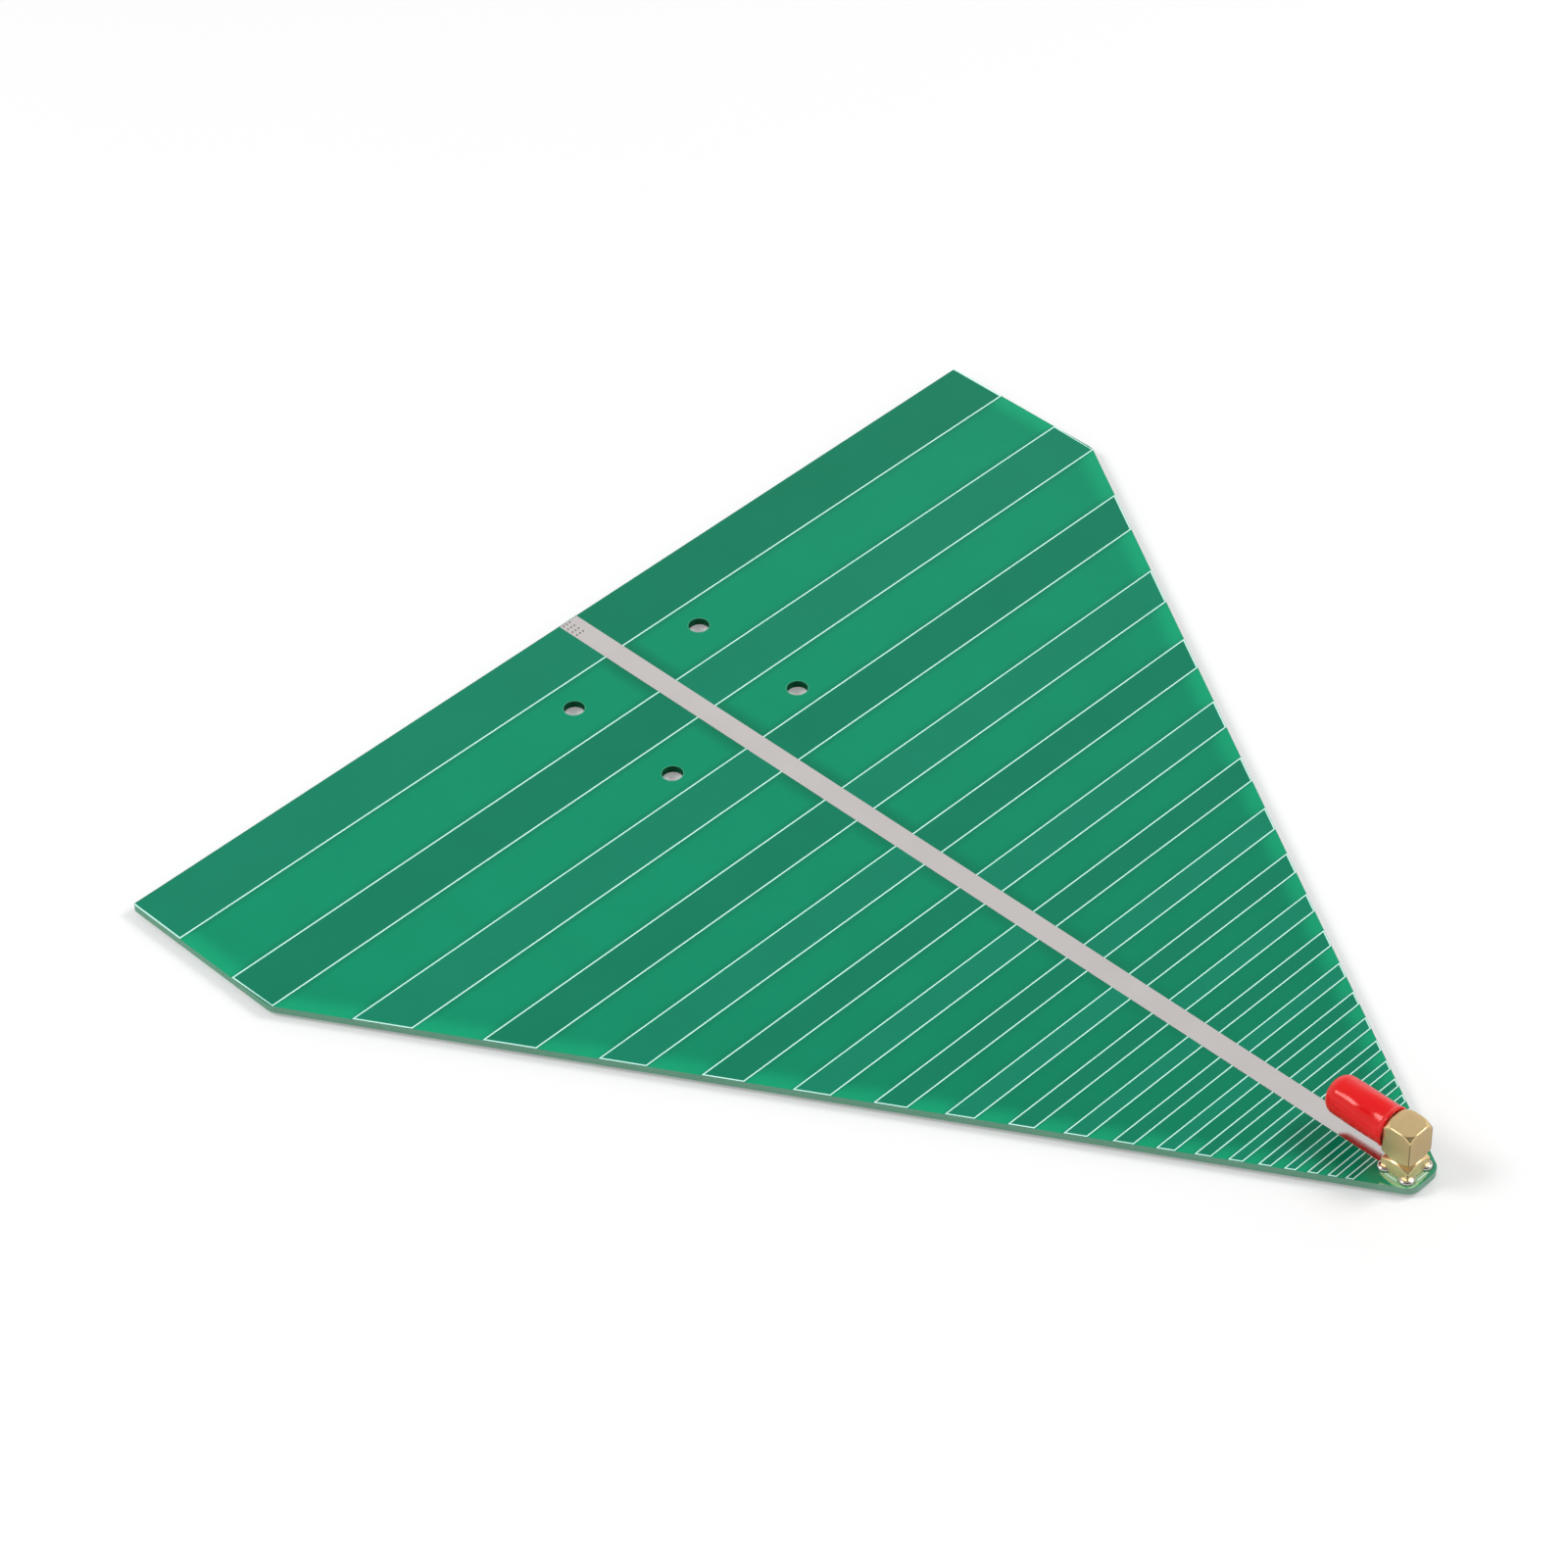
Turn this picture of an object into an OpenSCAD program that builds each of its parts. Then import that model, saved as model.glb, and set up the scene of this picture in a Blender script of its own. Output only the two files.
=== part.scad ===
// Log-periodic antenna on a two-sided printed board, with a right-angle coaxial jack and its dust cap.
// Each dipole has one arm on the front face and the other on the back, and the sides alternate.
// +Z is up from the face that carries the jack, and +Y points to the wide end.
// The origin is the centre of the four mounting holes, on the underside of the laminate.
// A distance named "from the wide end" runs along the board towards the tip.

/* [Board] */
// Width at the wide end
board_w = 230; // [180:1:300]
// Length from the wide end to the tip
board_l = 227; // [180:1:300]
// Thickness of the laminate
board_t = 1.6; // [0.8:0.1:3.2]
// Length of the parallel sides before the taper
shoulder_l = 40.5; // [20:0.5:60]
// Width of the blunt tip before its corners are rounded
tip_w = 7; // [6:0.5:16]
// Corner radius at the wide end
rear_corner_r = 0.5; // [0.3:0.1:5]
// Corner radius at the shoulders
shoulder_r = 4; // [1:0.5:20]
// Corner radius at the tip
tip_corner_r = 2.8; // [0.5:0.1:4]

/* [Mounting holes] */
// Diameter of each mounting hole
hole_d = 4.3; // [3.2:0.1:6.4]
// Spacing of the holes across the board
hole_dx = 35; // [25:0.5:45]
// Spacing of the holes along the board
hole_dy = 28.5; // [20:0.5:40]
// Distance from the wide end to the first row of holes
hole_inset = 20.7; // [15:0.1:30]
// Bare ring kept free of copper round each hole
hole_keepout = 0.6; // [0.3:0.1:1.5]

/* [Copper] */
// Thickness of the copper foil on each face
copper_t = 0.035; // [0.018:0.001:0.105]
// Thickness of the tin coat on bare copper
tin_t = 0.03; // [0.01:0.005:0.06]
// Width of the feed strip
strip_w = 4.8; // [3:0.1:8]
// Distance from the wide end to the end of the feed strip
strip_inset = 0.2; // [0.1:0.05:0.4]
// Bare border between the arms and the board's edge
edge_margin = 0.2; // [0.15:0.05:2]
// Number of dipoles
element_count = 20; // [10:1:24]
// Distance from the wide end to the start of the pattern
first_inset = 1.1; // [0.5:0.1:5]
// Gap between the smallest dipole and the jack's solder pads
last_gap = 0.35; // [0.25:0.05:6]
// Distance from the tip out to the point where the pattern would shrink to nothing
apex_overhang = 9.5; // [7:0.1:15]
// Width of a dipole as a share of its distance from that point
element_chord = 0.0545; // [0.03:0.0001:0.06]

/* [Vias at the wide end] */
// Diameter of the drilled via hole
via_d = 0.6; // [0.5:0.05:0.7]
// Diameter of the bore left after plating
via_bore_d = 0.38; // [0.2:0.02:0.44]
// Columns of vias across the strip
via_columns = 3; // [1:1:4]
// Rows of vias along the strip
via_rows = 4; // [1:1:8]
// Spacing of the columns
via_dx = 0.85; // [0.75:0.05:1.2]
// Spacing of the rows
via_dy = 1.33; // [0.8:0.01:2]
// Distance from the strip's centre line to the first column
via_x = -1.7; // [-1.9:0.05:-1]
// Distance from the wide end to the first row
via_inset = 0.7; // [0.6:0.05:3]

/* [Jack body] */
// Distance from the tip to the centre of the jack
jack_setback = 5; // [4.8:0.1:8]
// Width of the square bar across its flats
bar_w = 6.35; // [5.3:0.05:7.7]
// Height of the bar above the board
jack_h = 11; // [10.5:0.1:14]
// Height of the barrel's axis above the board
axis_h = 7.6; // [7:0.1:9]
// Height of the middle of the turned groove above the board
groove_h = 3.1; // [2.5:0.1:3.5]
// Radius at the bottom of the groove
groove_r = 2.7; // [2.5:0.05:3]
// Width of the flat at the bottom of the groove
groove_flat = 0.1; // [0.05:0.05:0.3]
// Slope of the groove's two sides
groove_angle = 30; // [25:1:35]
// Slope of the chamfer round the top
top_angle = 45; // [30:1:50]
// Radius of the round flat on top
top_flat_r = 3.35; // [2.8:0.05:3.6]
// Width of each corner leg
leg_w = 1.27; // [0.8:0.01:1.5]
// How far the legs and the tail pin reach below the laminate
leg_reach = 1; // [0.6:0.1:2]

/* [Barrel] */
// Outside diameter of the thread
thread_d = 6.35; // [5.9:0.05:7.7]
// Length of the barrel from the bar's face
barrel_l = 11; // [8:0.5:15]
// Depth of the relief behind the thread
relief_depth = 0.4; // [0.2:0.05:0.5]
// Length of the relief behind the thread
relief_l = 1.2; // [0.5:0.1:2]
// Chamfer at each end of the thread
thread_chamfer = 0.4; // [0.1:0.05:0.6]
// Wall of the spigot that is pressed into the bar
spigot_wall = 0.55; // [0.3:0.05:0.6]
// Length of that spigot
spigot_l = 1; // [0.5:0.1:1.1]
// Diameter of the mouth
mouth_d = 4.6; // [4.3:0.05:5.2]
// Depth of the mouth down to the insulator
mouth_depth = 1.9; // [1:0.1:3]

/* [Contact and insulators] */
// Outside diameter of the insulators
insulator_d = 4.1; // [3.4:0.05:4.2]
// Diameter of the centre contact and of the tail pin
contact_d = 1.27; // [1:0.01:1.5]
// Diameter of the socket in the contact's end
socket_d = 0.94; // [0.8:0.01:0.98]
// Depth of that socket
socket_depth = 2.6; // [1.5:0.1:4]
// Width of the slits that make the socket springy
slit_w = 0.2; // [0.1:0.05:0.3]
// Diameter of the tail pin's nose in the cross hole of the contact
nose_d = 0.7; // [0.5:0.05:0.9]
// Radial clearance of a push fit
push_fit = 0.02; // [0.01:0.005:0.04]
// Room between the contact and the top of the pin's insulator
contact_room = 0.3; // [0.2:0.05:0.6]

/* [Solder] */
// Diameter of the solder pads of the legs
leg_pad_d = 3.4; // [2.8:0.1:3.6]
// Clearance of a leg in its hole, corner to wall
leg_hole_room = 0.1; // [0.05:0.05:0.2]
// Diameter of the solder pad of the tail pin
pin_pad_d = 2.4; // [2:0.1:2.8]
// Clearance of the tail pin in its hole
pin_hole_room = 0.12; // [0.05:0.01:0.2]
// Bare ring round the tail pin on the front face
pin_antipad = 0.6; // [0.4:0.1:0.9]
// Width of the back strip where it passes between two legs
strip_neck_w = 1; // [0.6:0.1:1.2]
// Gap between the wide part of the back strip and the leg pads
pad_gap = 0.4; // [0.2:0.1:1]
// Height of the round solder collars on the front face
collar_h = 0.6; // [0.3:0.1:1.2]
// Radius of a collar at its top, from the middle of the leg
collar_top_r = 0.8; // [0.7:0.05:1.2]
// Border of bare pad left round a collar
collar_border = 0.2; // [0.05:0.05:0.3]
// How far a leg or pin stands out of its solder below the board
solder_stop = 0.2; // [0.1:0.05:0.4]
// Thickness of the solder round a leg or pin where it ends
solder_skin = 0.05; // [0.02:0.01:0.1]

/* [Dust cap] */
// Wall of the cap
cap_wall = 0.75; // [0.5:0.05:1.2]
// Radial clearance between the cap and the thread
cap_fit = 0.06; // [0.03:0.01:0.15]
// Gap between the cap's mouth and the bar
cap_seat_gap = 0.2; // [0.1:0.05:0.5]
// Room between the barrel's end and the cap's end
cap_headroom = 2.2; // [0.5:0.1:4]
// Thickness of the cap's closed end
cap_end_wall = 1.2; // [0.8:0.1:2]
// Radius of the rounded edge of the closed end
cap_end_r = 2.6; // [1:0.1:3]
// Rise of the crown in the middle of the closed end
cap_crown = 0.25; // [0:0.05:0.5]
// How far the rolled lip stands out at the mouth
cap_lip = 0.15; // [0.05:0.05:0.4]
// Width of the rolled lip
cap_lip_w = 0.9; // [0.5:0.1:1.5]

/* [Hidden] */
$fn = 64;

mask_green = "#1a8560";
copper_green = "#177458";
tin_grey = "#c4bebc";
gold = "#bfa66e";
solder_grey = "#d2d0cc";
insulator_white = "#f2f0ea";
cap_red = "#e02424";

// Overlap of a cutting shape past the face that it cuts
cut = 0.5;
// Straight pieces in each rounded corner or edge
arc_steps = 10;
// Smallest radius that a corner keeps when the outline is pulled in
least_r = 0.1;

// The board's plan
rear_y = hole_inset + hole_dy / 2;
taper = (board_w - tip_w) / 2 / (board_l - shoulder_l);
jack_d = board_l - jack_setback;
leg_pitch = bar_w - leg_w;
pads_rear = jack_d - (leg_pitch + leg_pad_d) / 2;
function along(d) = rear_y - d;

// The log-periodic rule; the largest dipole runs back to the border of the board
apex_d = board_l + apex_overhang;
first_r = apex_d - first_inset;
last_r = (apex_d - pads_rear + last_gap) / (1 - element_chord);
shrink = pow(last_r / first_r, 1 / (element_count - 1));
function element_rear(n) = n == 0 ? edge_margin : apex_d - first_r * pow(shrink, n);
function element_fore(n) = apex_d - first_r * pow(shrink, n) * (1 - element_chord);

// Heights of the layers
foil_z = board_t + copper_t;
seat_z = foil_z + tin_t;
back_z = -copper_t - tin_t;

// The jack's fits
leg_l = seat_z + leg_reach;
leg_hole_d = leg_w * sqrt(2) + 2 * leg_hole_room;
pin_hole_d = contact_d + 2 * pin_hole_room;
spigot_d = insulator_d + 2 * spigot_wall;
pin_insulator_h = axis_h - contact_d / 2 - contact_room;
contact_end = bar_w / 2 + barrel_l - mouth_depth;

// The cap's fits
cap_bore_r = thread_d / 2 + cap_fit;
cap_r = cap_bore_r + cap_wall;
cap_l = barrel_l - cap_seat_gap + cap_headroom + cap_end_wall;

// The board's outline, pulled in from every edge by the inset
function taper_x(d, inset) = board_w / 2 - (d - shoulder_l) * taper - inset * sqrt(1 + taper * taper);
function shoulder_d(inset) = shoulder_l + inset * (1 - sqrt(1 + taper * taper)) / taper;
function half_outline(inset) = [
    [board_w / 2 - inset, along(inset)],
    [board_w / 2 - inset, along(shoulder_d(inset))],
    [taper_x(board_l - inset, inset), along(board_l - inset)]];
function mirrored(points) = [for (i = [len(points) - 1 : -1 : 0]) [-points[i][0], points[i][1]]];
function outline(inset) = concat(mirrored(half_outline(inset)), half_outline(inset));

// A convex outline with each corner replaced by an arc that touches both of its edges
function unit(v) = v / norm(v);
function corner_arc(p, before, after, r) =
    let (
        u = unit(before - p),
        v = unit(after - p),
        half = acos(u * v) / 2,
        centre = p + unit(u + v) * r / sin(half),
        start = p + u * r / tan(half) - centre,
        turn = -(180 - 2 * half),
        from = atan2(start[1], start[0])
    )
    [for (k = [0 : arc_steps])
        centre + r * [cos(from + turn * k / arc_steps), sin(from + turn * k / arc_steps)]];
function rounded(points, radii) =
    let (last = len(points) - 1)
    [for (i = [0 : last])
        each corner_arc(points[i], points[i == 0 ? last : i - 1], points[i == last ? 0 : i + 1], radii[i])];

module plan(inset) {
    radii = [tip_corner_r, shoulder_r, rear_corner_r, rear_corner_r, shoulder_r, tip_corner_r];
    polygon(rounded(outline(inset), [for (r = radii) max(r - inset, least_r)]));
}

module at_holes() {
    for (x = [-hole_dx / 2, hole_dx / 2], y = [-hole_dy / 2, hole_dy / 2]) {
        translate([x, y]) children();
    }
}

module at_vias() {
    for (i = [0 : via_columns - 1], j = [0 : via_rows - 1]) {
        translate([via_x + i * via_dx, along(via_inset + j * via_dy)]) children();
    }
}

module at_jack() {
    translate([0, along(jack_d), 0]) children();
}

module at_legs() {
    at_jack() for (x = [-leg_pitch / 2, leg_pitch / 2], y = [-leg_pitch / 2, leg_pitch / 2]) {
        translate([x, y, 0]) children();
    }
}

// Along the barrel's axis, from the centre of the bar
module on_axis(distance) {
    translate([0, along(jack_d) + distance, seat_z + axis_h]) rotate([-90, 0, 0]) children();
}

module drill(d) {
    translate([0, 0, -board_t]) cylinder(d = d, h = 3 * board_t);
}

module fr4_board() {
    color(mask_green) difference() {
        linear_extrude(board_t) plan(0);
        at_holes() drill(hole_d);
        at_vias() drill(via_d);
        at_legs() drill(leg_hole_d);
        at_jack() drill(pin_hole_d);
    }
}

// The arms that one face carries: side is -1 where the largest dipole's arm lies to the left
module arms(side) {
    difference() {
        intersection() {
            plan(edge_margin);
            for (n = [0 : element_count - 1]) {
                left = (n % 2 == 0) == (side < 0);
                translate([left ? -board_w / 2 : 0, along(element_fore(n))])
                    square([board_w / 2, element_fore(n) - element_rear(n)]);
            }
        }
        at_holes() circle(d = hole_d + 2 * hole_keepout);
    }
}

module strip(end_d, w) {
    translate([-w / 2, along(end_d)]) square([w, end_d - strip_inset]);
}

module leg_pads() {
    at_legs() circle(d = leg_pad_d);
}

// Holes that pass the legs and the vias through a layer
module layer_holes(via_hole_d) {
    at_legs() circle(d = leg_hole_d);
    at_vias() circle(d = via_hole_d);
}

module front_bare_copper() {
    strip(jack_d + leg_pitch / 2, strip_w);
    leg_pads();
}

module front_layer_holes(via_hole_d) {
    layer_holes(via_hole_d);
    at_jack() circle(d = pin_hole_d + 2 * pin_antipad);
}

module back_bare_copper() {
    strip(pads_rear - pad_gap, strip_w);
    strip(jack_d, strip_neck_w);
    leg_pads();
    at_jack() circle(d = pin_pad_d);
}

module back_layer_holes(via_hole_d) {
    layer_holes(via_hole_d);
    at_jack() circle(d = pin_hole_d);
}

module front_copper() {
    color(copper_green) translate([0, 0, board_t]) difference() {
        union() {
            linear_extrude(copper_t) front_bare_copper();
            linear_extrude(copper_t) arms(-1);
        }
        translate([0, 0, -cut]) linear_extrude(copper_t + 2 * cut) front_layer_holes(via_d);
    }
}

module back_copper() {
    color(copper_green) translate([0, 0, -copper_t]) difference() {
        union() {
            linear_extrude(copper_t) back_bare_copper();
            linear_extrude(copper_t) arms(1);
        }
        translate([0, 0, -cut]) linear_extrude(copper_t + 2 * cut) back_layer_holes(via_d);
    }
}

module front_tinning() {
    color(tin_grey) translate([0, 0, foil_z]) linear_extrude(tin_t) difference() {
        front_bare_copper();
        front_layer_holes(via_bore_d);
    }
}

module back_tinning() {
    color(tin_grey) translate([0, 0, back_z]) linear_extrude(tin_t) difference() {
        back_bare_copper();
        back_layer_holes(via_bore_d);
    }
}

module feed_vias() {
    color(tin_grey) at_vias() translate([0, 0, -copper_t]) difference() {
        cylinder(d = via_d, h = board_t + 2 * copper_t);
        translate([0, 0, -cut]) cylinder(d = via_bore_d, h = board_t + 2 * copper_t + 2 * cut);
    }
}

// Outline turned on the square bar: base, groove, block and chamfered top
module turned_outline() {
    reach = bar_w / sqrt(2) + cut;
    groove_rise = (reach - groove_r) * tan(groove_angle);
    top_rise = (reach - top_flat_r) * tan(top_angle);
    rotate_extrude() polygon([
        [0, -leg_l],
        [reach, -leg_l],
        [reach, groove_h - groove_flat / 2 - groove_rise],
        [groove_r, groove_h - groove_flat / 2],
        [groove_r, groove_h + groove_flat / 2],
        [reach, groove_h + groove_flat / 2 + groove_rise],
        [reach, jack_h - top_rise],
        [top_flat_r, jack_h],
        [0, jack_h]]);
}

// Slot milled across the foot of the bar, which leaves the four corner legs
module foot_slot() {
    slot_w = bar_w - 2 * leg_w;
    translate([-bar_w, -slot_w / 2, -leg_l - cut]) cube([2 * bar_w, slot_w, leg_l + cut]);
}

module jack_body() {
    color(gold) difference() {
        at_jack() translate([0, 0, seat_z]) difference() {
            intersection() {
                translate([-bar_w / 2, -bar_w / 2, -leg_l]) cube([bar_w, bar_w, leg_l + jack_h]);
                turned_outline();
            }
            foot_slot();
            rotate(90) foot_slot();
            translate([0, 0, -cut]) cylinder(d = insulator_d, h = axis_h + insulator_d / 2 + cut);
        }
        on_axis(0) cylinder(d = insulator_d, h = bar_w);
        on_axis(bar_w / 2 - spigot_l) cylinder(d = spigot_d, h = bar_w);
    }
}

module threaded_barrel() {
    relief_r = thread_d / 2 - relief_depth;
    color(gold) on_axis(bar_w / 2) rotate_extrude() polygon([
        [insulator_d / 2, -spigot_l],
        [spigot_d / 2 - push_fit, -spigot_l],
        [spigot_d / 2 - push_fit, 0],
        [relief_r, 0],
        [relief_r, relief_l],
        [thread_d / 2 - thread_chamfer, relief_l],
        [thread_d / 2, relief_l + thread_chamfer],
        [thread_d / 2, barrel_l - thread_chamfer],
        [thread_d / 2 - thread_chamfer, barrel_l],
        [mouth_d / 2, barrel_l],
        [mouth_d / 2, barrel_l - mouth_depth],
        [insulator_d / 2, barrel_l - mouth_depth]]);
}

module barrel_insulator() {
    start = bar_w / 2 - spigot_l;
    color(insulator_white) on_axis(start) difference() {
        cylinder(d = insulator_d - 2 * push_fit, h = contact_end - start);
        translate([0, 0, -cut]) cylinder(d = contact_d + 2 * push_fit, h = contact_end - start + 2 * cut);
    }
}

module centre_contact() {
    color(gold) difference() {
        on_axis(-contact_d) cylinder(d = contact_d, h = contact_end + contact_d);
        on_axis(contact_end - socket_depth) cylinder(d = socket_d, h = socket_depth + cut);
        on_axis(contact_end - socket_depth) for (turn = [0, 90]) {
            rotate(turn) translate([-contact_d, -slit_w / 2, 0])
                cube([2 * contact_d, slit_w, socket_depth + cut]);
        }
        at_jack() translate([0, 0, seat_z + axis_h - contact_d])
            cylinder(d = nose_d + 2 * push_fit, h = 2 * contact_d);
    }
}

module pin_insulator() {
    color(insulator_white) at_jack() translate([0, 0, seat_z]) difference() {
        cylinder(d = insulator_d - 2 * push_fit, h = pin_insulator_h);
        translate([0, 0, -cut]) cylinder(d = contact_d + 2 * push_fit, h = pin_insulator_h + 2 * cut);
    }
}

module tail_pin() {
    shank_h = leg_l + axis_h - contact_d / 2;
    color(gold) at_jack() translate([0, 0, -leg_reach]) {
        cylinder(d = contact_d, h = shank_h);
        cylinder(d = nose_d, h = shank_h + contact_d);
    }
}

// Solder in a plated hole, with the hollow cone that it leaves below the board
module hole_solder(hole_d, pad_d, core_r, top_z) {
    end_r = core_r + solder_skin;
    rim_r = pad_d / 2 - collar_border;
    drop = back_z + leg_reach - solder_stop;
    translate([0, 0, back_z]) cylinder(d = hole_d, h = top_z - back_z);
    translate([0, 0, back_z]) rotate_extrude() polygon(concat(
        [[0, 0]],
        [for (k = [0 : arc_steps])
            [rim_r - (rim_r - end_r) * sin(90 * k / arc_steps), -drop * (1 - cos(90 * k / arc_steps))]],
        [[0, -drop]]));
}

// Round collar of solder that stands on a pad
module collar() {
    rim_r = leg_pad_d / 2 - collar_border;
    rotate_extrude() polygon(concat(
        [[0, 0]],
        [for (k = [0 : arc_steps])
            [collar_top_r + (rim_r - collar_top_r) * cos(90 * k / arc_steps),
                collar_h * sin(90 * k / arc_steps)]],
        [[0, collar_h]]));
}

module leg_solder() {
    color(solder_grey) difference() {
        at_legs() {
            hole_solder(leg_hole_d, leg_pad_d, leg_w / sqrt(2), seat_z);
            translate([0, 0, seat_z]) collar();
        }
        at_jack() translate([-bar_w / 2, -bar_w / 2, seat_z]) cube([bar_w, bar_w, jack_h]);
        at_legs() translate([-leg_w / 2, -leg_w / 2, -2 * leg_reach])
            cube([leg_w, leg_w, 2 * leg_reach + seat_z + cut]);
    }
}

module pin_solder() {
    color(solder_grey) at_jack() difference() {
        hole_solder(pin_hole_d, pin_pad_d, contact_d / 2, board_t);
        translate([0, 0, -2 * leg_reach]) cylinder(d = contact_d, h = 2 * leg_reach + 2 * board_t);
    }
}

// Half section of the cap: lip, wall, rounded edge, crowned end and the inside
module dust_cap() {
    edge_start = cap_l - cap_crown - cap_end_r;
    edge = [for (k = [0 : arc_steps])
        [cap_r - cap_end_r * (1 - cos(90 * k / arc_steps)),
            edge_start + cap_end_r * sin(90 * k / arc_steps)]];
    inner_edge = cap_end_r - cap_wall;
    color(cap_red) on_axis(bar_w / 2 + cap_seat_gap) rotate_extrude() polygon(concat(
        [
            [cap_bore_r, 0],
            [cap_r, 0],
            [cap_r + cap_lip, cap_lip],
            [cap_r + cap_lip, cap_lip_w - cap_lip],
            [cap_r, cap_lip_w]
        ],
        edge,
        [
            [0, cap_l],
            [0, cap_l - cap_end_wall],
            [cap_bore_r - inner_edge, cap_l - cap_end_wall],
            [cap_bore_r, cap_l - cap_end_wall - inner_edge]
        ]));
}

fr4_board();
front_copper();
back_copper();
front_tinning();
back_tinning();
feed_vias();
jack_body();
threaded_barrel();
barrel_insulator();
centre_contact();
pin_insulator();
tail_pin();
leg_solder();
pin_solder();
dust_cap();
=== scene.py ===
"""Looks of a log-periodic antenna etched on a green printed board, with a gold-plated jack under a red cap.

Sizes are in millimetres up to the point where they meet Blender, which works in metres.
The frame is the solid model's own: +Z up from the face with the jack, +Y towards the wide end.
"""

import math
from functools import partial

import bmesh
import bpy
from mathutils import Matrix, Vector


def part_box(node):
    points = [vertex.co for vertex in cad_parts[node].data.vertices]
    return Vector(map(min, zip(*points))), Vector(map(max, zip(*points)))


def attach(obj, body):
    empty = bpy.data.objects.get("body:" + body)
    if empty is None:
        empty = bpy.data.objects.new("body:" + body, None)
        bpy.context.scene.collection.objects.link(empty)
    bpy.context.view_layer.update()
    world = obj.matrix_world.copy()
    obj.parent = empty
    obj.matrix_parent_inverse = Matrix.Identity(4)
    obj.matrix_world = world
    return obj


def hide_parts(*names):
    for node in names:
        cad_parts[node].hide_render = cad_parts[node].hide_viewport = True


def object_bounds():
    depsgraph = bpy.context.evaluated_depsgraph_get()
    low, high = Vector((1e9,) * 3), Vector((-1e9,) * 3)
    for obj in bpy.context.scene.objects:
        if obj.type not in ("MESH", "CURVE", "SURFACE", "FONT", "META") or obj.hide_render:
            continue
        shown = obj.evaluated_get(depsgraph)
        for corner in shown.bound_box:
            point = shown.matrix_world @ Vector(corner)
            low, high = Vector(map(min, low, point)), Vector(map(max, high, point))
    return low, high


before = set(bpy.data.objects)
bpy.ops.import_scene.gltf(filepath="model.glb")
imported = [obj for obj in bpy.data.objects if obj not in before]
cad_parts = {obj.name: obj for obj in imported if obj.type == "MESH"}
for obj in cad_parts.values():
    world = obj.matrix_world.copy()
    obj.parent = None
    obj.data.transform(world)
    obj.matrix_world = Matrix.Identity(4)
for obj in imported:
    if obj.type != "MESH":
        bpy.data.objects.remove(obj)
cad_low, cad_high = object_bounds()

MM = 0.001
SCENE = bpy.context.scene

# The printed pattern, in millimetres, by the same rule as the copper; the chord is a share of the reach
ELEMENT_COUNT = 20
ELEMENT_CHORD = 0.0545
FIRST_INSET = 1.1
LAST_GAP = 0.35
APEX_OVERHANG = 9.5
EDGE_MARGIN = 0.2
STRIP_W = 4.8
SHOULDER_L = 40.5
TIP_W = 7
HOLE_DX = 35
HOLE_DY = 28.5
HOLE_D = 4.3

# White ink, in millimetres: its lines grow finer towards the tip, and points this near are merged
INK_W = 0.3
INK_TIP_W = 0.21
INK_H = 0.06
INK_MERGE = 0.002
FOOTPRINT_HALF = 4.0
FOOTPRINT_RUN = 1.4
ARM_RUNGS = 4

# The jack's barrel and its thread, in millimetres: 36 turns to the inch, foot and crest as shares of the pitch
THREAD_D = 6.35
THREAD_PITCH = 25.4 / 36
THREAD_DEPTH = 0.4
THREAD_FOOT = 0.94
THREAD_CREST = 0.14
BARREL_L = 11
BARREL_RELIEF_L = 1.2
BARREL_RELIEF_DEPTH = 0.4
BARREL_END_CHAMFER = 0.4
BARREL_END_BREAK = 0.1
BARREL_SPIGOT_D = 5.16
BARREL_SPIGOT_L = 1
BARREL_BORE_D = 4.1
BARREL_MOUTH_D = 4.6
BARREL_MOUTH_DEPTH = 1.9
BARREL_MOUTH_BREAK = 0.08

# The jack's square body, in millimetres above its seat, with slopes in degrees
BAR_W = 6.35
BAR_H = 11
GROOVE_H = 3.1
GROOVE_R = 2.7
GROOVE_FLAT = 0.1
GROOVE_ANGLE = 30
TOP_FLAT_R = 3.35
TOP_ANGLE = 45
LEG_W = 1.27
LEG_REACH = 1

# Edges that the lathe, the mill and the plating leave on that body, in millimetres
TURNED_EDGE = 0.24
CORNER_EDGE = 0.12
TOP_EDGE = 0.22

# Painted dark reflection along the bar's corners: where it starts and is full, in millimetres short of the sharp
# corner, and how dark
DARK_CORNER_START = 0.12
DARK_CORNER_FULL = 0.06
DARK_CORNER_DEPTH = 0.8

# Rings of points on that body: fine ones run this far past a cut, in millimetres, and others lie at these shares
CUT_ROOM = 0.3
BASE_RING = 0.4
DISC_RING = 0.5
GROOVE_STEPS = 26
TOP_STEPS = 24
EDGE_STEPS = 6

# Solder at the legs, in millimetres; the lumps rise by a share of what they spread
LEG_PITCH = 5.08
SOLDER_PAD_R = 1.5
SOLDER_TOP_R = 0.75
SOLDER_TOP_H = 0.55
SOLDER_HOLE_R = 0.95
SOLDER_TAIL_R = 0.95
SOLDER_TAIL_H = 0.735
SOLDER_LUMP = 0.1
SOLDER_LUMP_SIZE = 1.7
SOLDER_LUMP_RISE = 0.6
SOLDER_SEED = 7

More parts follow.
